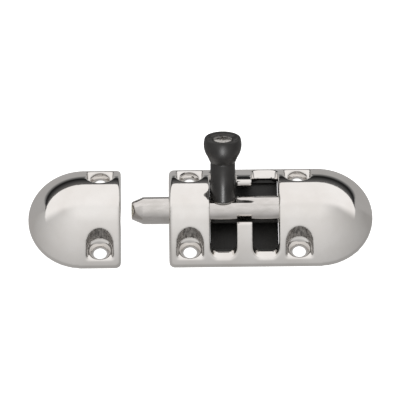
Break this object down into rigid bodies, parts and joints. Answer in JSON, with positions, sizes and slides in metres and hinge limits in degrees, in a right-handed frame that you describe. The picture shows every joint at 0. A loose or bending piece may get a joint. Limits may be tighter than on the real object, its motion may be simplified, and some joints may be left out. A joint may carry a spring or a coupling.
{
  "type": "toggle bolt latch",
  "caption": "Surface-mounted barrel bolt: a domed chrome housing with a sliding, turning bolt, a black knob in a double-slotted window, and a matching domed keeper.",
  "frame": {"origin": "centre of the housing's four screw holes, on the flat face that lies on the door", "axes": "+X along the bolt from the keeper towards the housing's round end, +Y across the door towards the side the knob leans to, +Z out of the door"},
  "size_m": [0.1143, 0.0388, 0.0302],
  "materials": {
    "chrome": "polished",
    "bolt_chrome": "polished",
    "nylon": "moulded",
    "black_plastic": "moulded",
    "steel": "bright"
  },
  "bodies": {
    "housing": {"housing": "chrome", "front_bush": "nylon", "rear_bush": "nylon", "window_liner": "black_plastic"},
    "spring_end": {"thrust_washer": "steel", "return_spring": "steel"},
    "bolt": {"bolt": "bolt_chrome", "knob": "black_plastic", "knob_screw": "steel", "knob_washer": "steel"},
    "keeper": {"keeper": "chrome", "keeper_sleeve": "nylon"}
  },
  "joints": [
    {"name": "bolt_slide", "type": "slide", "parent": "housing", "child": "spring_end", "axis": [1, 0, 0], "range_m": [0, 0.0139], "stiffness_N_per_m": 110, "springref_m": -0.018, "deforming": ["return_spring"]},
    {"name": "knob_turn", "type": "hinge", "parent": "spring_end", "child": "bolt", "pos_m": [-0.007, 0, 0.00635], "axis": [1, 0, 0], "range_deg": [-47, 123]},
    {"name": "keeper_close", "type": "slide", "parent": "housing", "child": "keeper", "axis": [1, 0, 0], "range_m": [0, 0.0125]}
  ]
}
